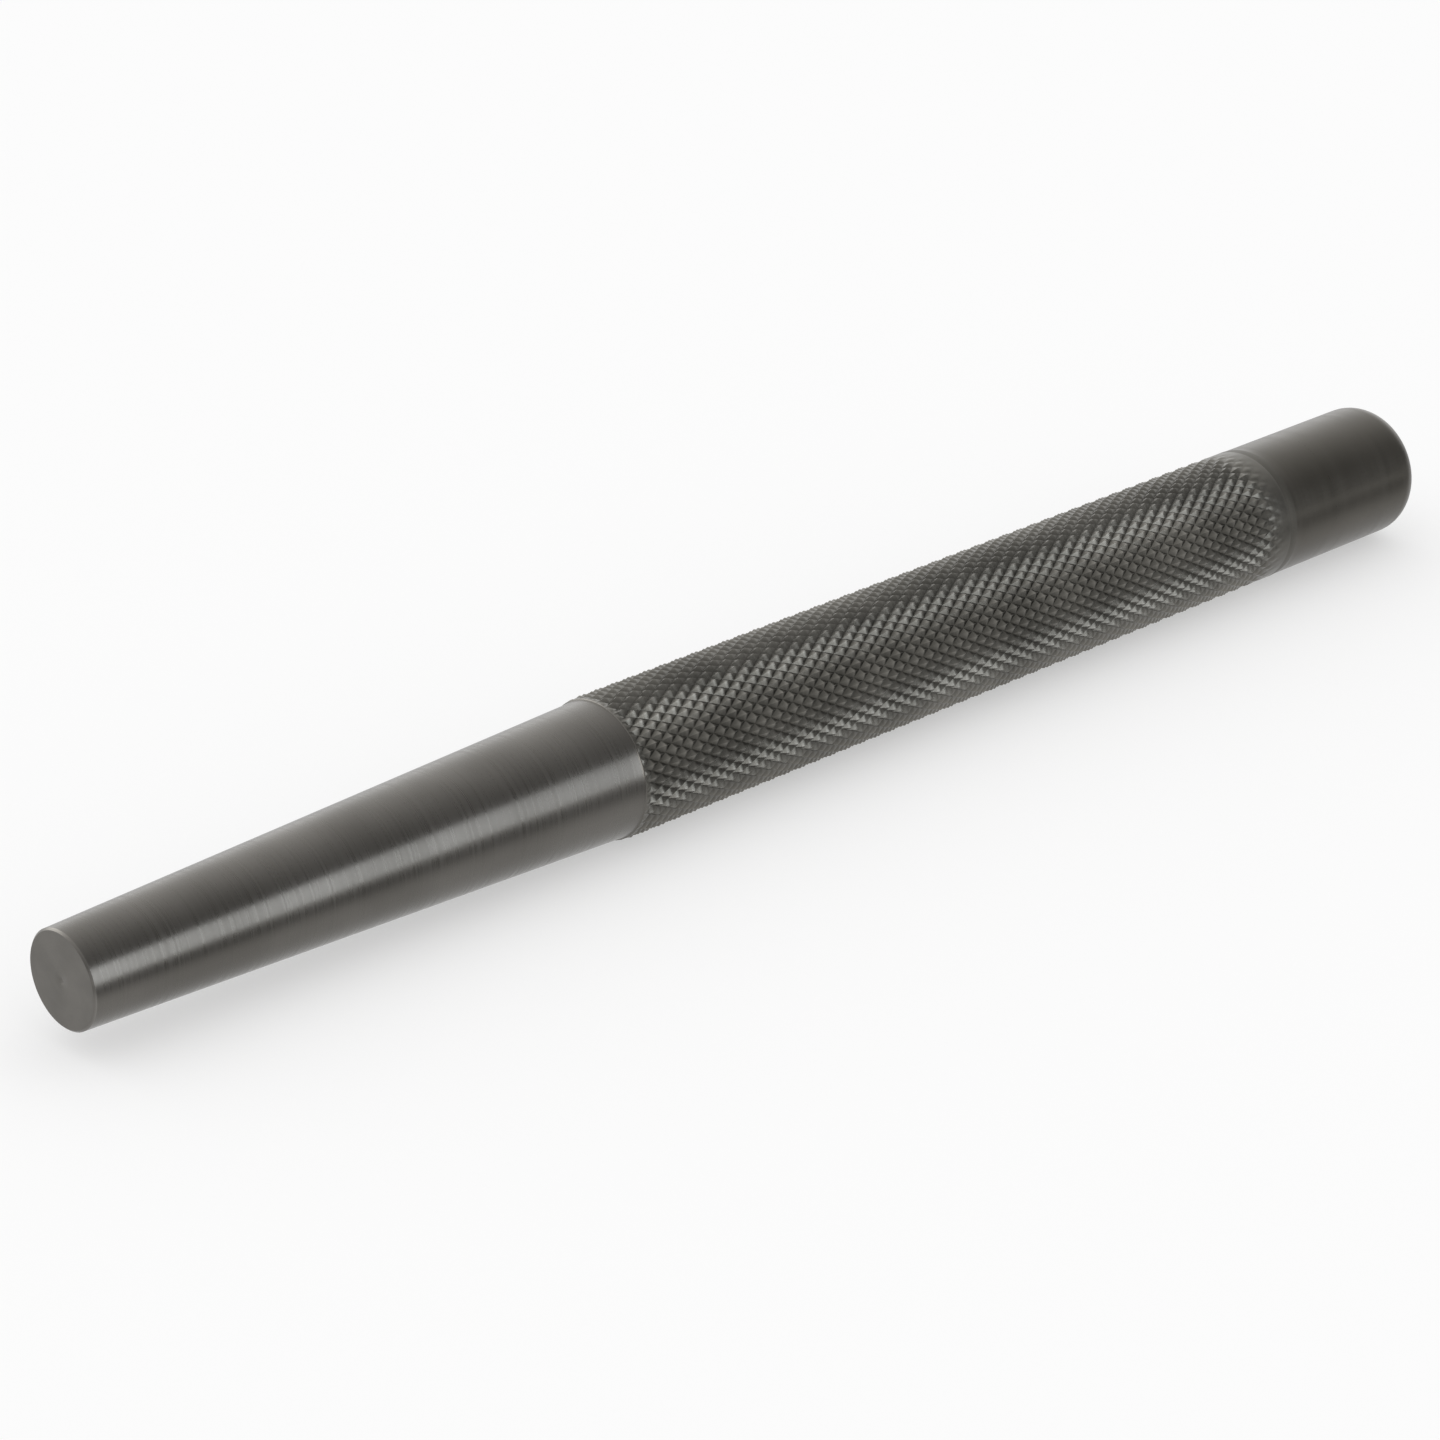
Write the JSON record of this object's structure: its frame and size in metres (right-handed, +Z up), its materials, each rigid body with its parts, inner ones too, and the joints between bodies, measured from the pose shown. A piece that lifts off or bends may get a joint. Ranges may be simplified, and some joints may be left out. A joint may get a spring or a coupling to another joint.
{
  "type": "taper punch",
  "caption": "One-piece steel taper punch with a flat round tip, a long plain taper, a diamond-knurled grip and a plain head with a rounded striking end.",
  "frame": {"origin": "on the surface that the punch lies on, under the middle of its length", "axes": "+X along the punch from its tip to its struck end, +Z up from the surface that it lies on"},
  "size_m": [0.185, 0.015, 0.015],
  "materials": {
    "blackened_steel": "turned and knurled steel under a thin satin black oxide"
  },
  "bodies": {
    "root": {"punch": "blackened_steel"}
  },
  "joints": []
}
